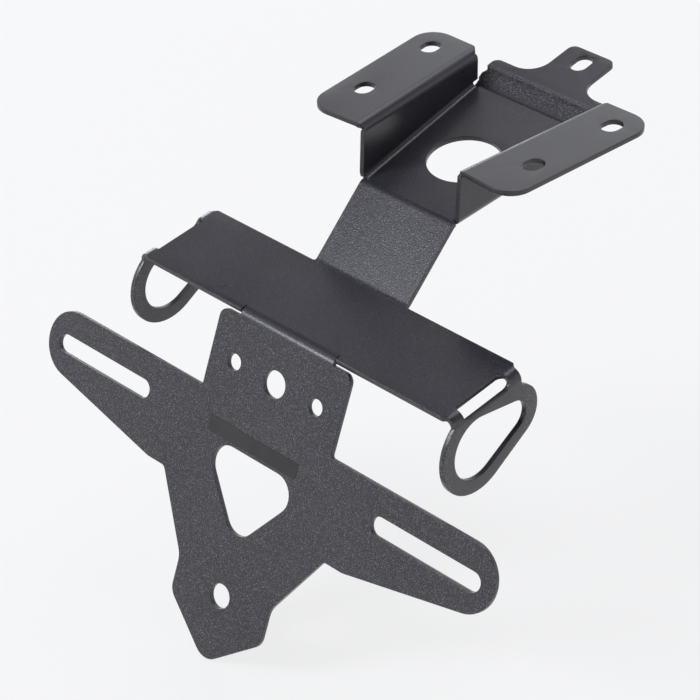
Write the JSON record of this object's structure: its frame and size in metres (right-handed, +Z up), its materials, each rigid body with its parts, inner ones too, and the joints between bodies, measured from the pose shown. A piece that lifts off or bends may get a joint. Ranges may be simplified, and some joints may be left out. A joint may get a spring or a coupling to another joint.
{
  "type": "rear license plate holder",
  "caption": "Folded steel bracket that hangs under a motorbike's tail, with a plate holder on slotted arms, a wing with turn signal loops and a channel with slotted flanges.",
  "frame": {"origin": "middle of the flange slots, in the plane of the flanges' level top faces, on the middle plane of the bracket", "axes": "+X to the side across the bracket, +Y from the number plate towards the bike, +Z up out of the flanges"},
  "size_m": [0.216, 0.2063, 0.1621],
  "materials": {
    "powder_coat": "black powder coat with a fine texture, satin on the wing"
  },
  "bodies": {
    "root": {"folded_bracket": "powder_coat"}
  },
  "joints": []
}
